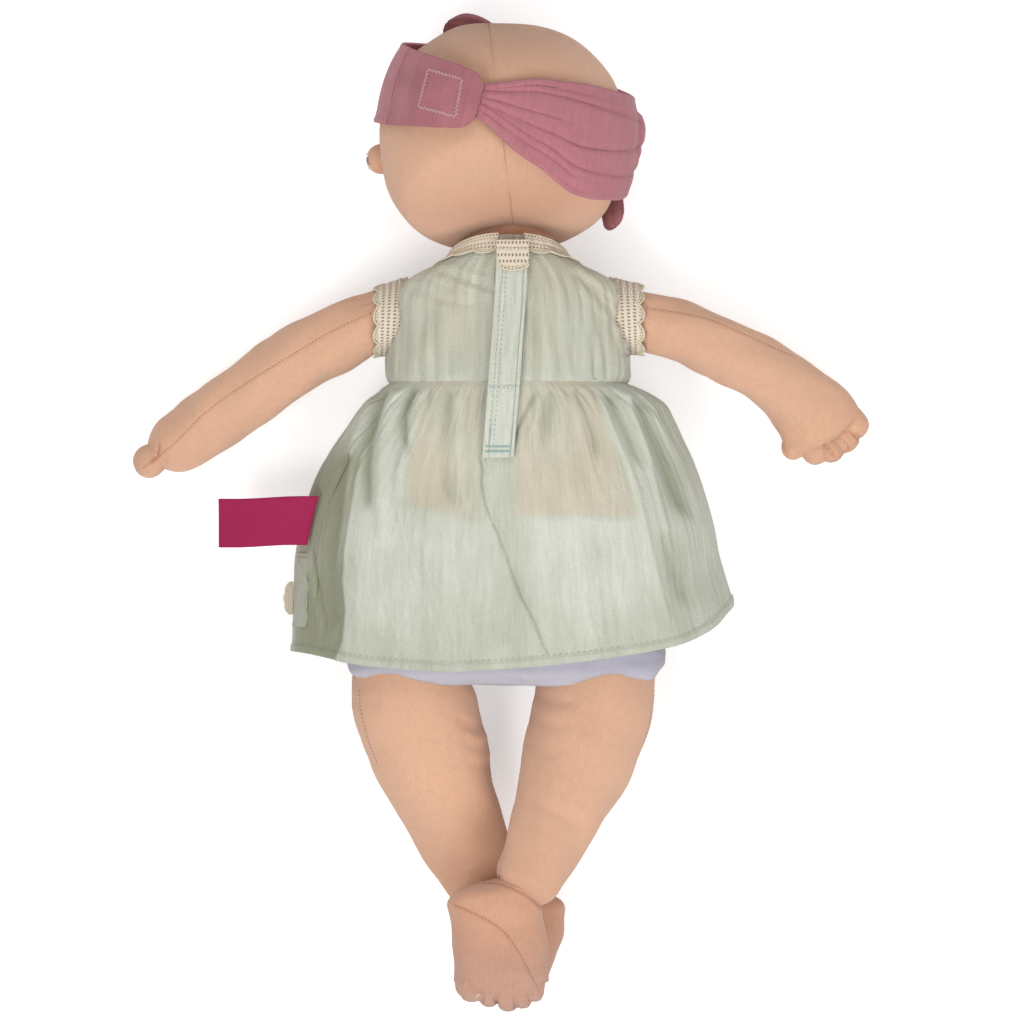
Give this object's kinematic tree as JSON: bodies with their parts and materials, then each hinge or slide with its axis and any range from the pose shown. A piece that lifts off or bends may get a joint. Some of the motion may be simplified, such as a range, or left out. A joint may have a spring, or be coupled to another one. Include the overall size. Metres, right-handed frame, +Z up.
{
  "type": "soft baby doll",
  "caption": "Soft stuffed baby doll lying face down, with jointed head and limbs, a gathered sun dress, a nappy and a wide knotted headband.",
  "frame": {"origin": "on the floor, under the middle of the doll's outer box", "axes": "+Z up from the floor towards the doll's back, +Y along the body towards the crown, +X to the doll's right"},
  "size_m": [0.2957, 0.3992, 0.0999],
  "materials": {
    "skin": "fine brushed cotton jersey, matt",
    "skin_stitch": "cotton jersey with embroidery thread, matt",
    "lash": "embroidery thread, slight sheen",
    "lip": "embroidery thread, slight sheen",
    "dress_gauze": "crinkled cotton double gauze, matt",
    "nappy_jersey": "smooth white cotton jersey, matt",
    "crochet_lace": "cotton crochet lace, matt",
    "ribbon": "woven satin ribbon, soft sheen",
    "fastening_tape": "hook and loop tape, matt",
    "headband_gauze": "crinkled cotton double gauze, matt"
  },
  "bodies": {
    "body": {"torso": "skin", "nappy": "nappy_jersey", "bodice_front": "dress_gauze", "bodice_back_left": "dress_gauze", "bodice_back_right": "dress_gauze", "skirt_front": "dress_gauze", "skirt_back": "dress_gauze", "loop_tape": "fastening_tape", "collar_lace": "crochet_lace", "armhole_lace_left": "crochet_lace", "armhole_lace_right": "crochet_lace", "pocket": "dress_gauze", "pocket_lace": "crochet_lace"},
    "neck": {"neck": "skin"},
    "head": {"head": "skin", "ear_left": "skin", "ear_right": "skin", "nose": "skin_stitch", "eye_left": "lash", "eye_right": "lash", "mouth": "lip"},
    "headband": {"headband": "headband_gauze", "headband_loop_tape": "fastening_tape", "bow_knot": "headband_gauze", "bow_ear": "headband_gauze", "bow_tail": "headband_gauze"},
    "headband_end": {"headband_tab": "headband_gauze", "headband_hook_tape": "fastening_tape"},
    "shoulder_left": {"shoulder_tab_left": "skin"},
    "shoulder_right": {"shoulder_tab_right": "skin"},
    "arm_left": {"arm_left": "skin"},
    "arm_right": {"arm_right": "skin"},
    "hips": {"hip_tab_left": "skin", "hip_tab_right": "skin"},
    "leg_left": {"leg_left": "skin", "foot_left": "skin"},
    "leg_right": {"leg_right": "skin", "foot_right": "skin"},
    "closing": {"placket": "dress_gauze", "hook_tape": "fastening_tape", "placket_lace": "crochet_lace"},
    "label": {"ribbon_tag": "ribbon"}
  },
  "joints": [
    {"name": "neck_nod", "type": "hinge", "parent": "body", "child": "neck", "pos_m": [0.0036, 0.104, 0.04], "axis": [1, 0, 0], "range_deg": [-16, 4]},
    {"name": "head_turn", "type": "hinge", "parent": "neck", "child": "head", "pos_m": [0.0036, 0.104, 0.04], "axis": [0, 1, 0], "range_deg": [-20, 20]},
    {"name": "headband_off", "type": "slide", "parent": "head", "child": "headband", "axis": [0.2419, 0.9703, 0], "range_m": [0, 0.06]},
    {"name": "headband_open", "type": "hinge", "parent": "headband", "child": "headband_end", "pos_m": [-0.0405, 0.1695, 0.074], "axis": [-0.2419, -0.9703, 0], "range_deg": [0, 65]},
    {"name": "shoulder_left_swing", "type": "hinge", "parent": "body", "child": "shoulder_left", "pos_m": [-0.0434, 0.079, 0.0335], "axis": [0, -1, 0], "range_deg": [-15, 42], "deforming": ["armhole_lace_left"]},
    {"name": "arm_left_raise", "type": "hinge", "parent": "shoulder_left", "child": "arm_left", "pos_m": [-0.0434, 0.079, 0.0335], "axis": [0, 0, -1], "range_deg": [-10, 60]},
    {"name": "shoulder_right_swing", "type": "hinge", "parent": "body", "child": "shoulder_right", "pos_m": [0.0506, 0.079, 0.0335], "axis": [0, 1, 0], "range_deg": [-15, 42], "deforming": ["armhole_lace_right"]},
    {"name": "arm_right_raise", "type": "hinge", "parent": "shoulder_right", "child": "arm_right", "pos_m": [0.0506, 0.079, 0.0335], "axis": [0, 0, 1], "range_deg": [-10, 60]},
    {"name": "hips_sit", "type": "hinge", "parent": "body", "child": "hips", "pos_m": [0.0022, -0.06, 0.027], "axis": [1, 0, 0], "range_deg": [-10, 80], "deforming": ["nappy", "skirt_back", "skirt_front"]},
    {"name": "leg_left_spread", "type": "hinge", "parent": "hips", "child": "leg_left", "pos_m": [-0.0353, -0.06, 0.027], "axis": [0, 0, -1], "range_deg": [0, 35]},
    {"name": "leg_right_spread", "type": "hinge", "parent": "hips", "child": "leg_right", "pos_m": [0.0397, -0.06, 0.027], "axis": [0, 0, 1], "range_deg": [0, 35]},
    {"name": "closing_open", "type": "hinge", "parent": "body", "child": "closing", "pos_m": [0.0117, 0.101, 0.0725], "axis": [0.0767, 0.9971, 0], "range_deg": [0, 90]},
    {"name": "label_flap", "type": "hinge", "parent": "body", "child": "label", "pos_m": [-0.0788, -0.0035, 0.0402], "axis": [0, 1, 0], "range_deg": [-3, 80]}
  ]
}
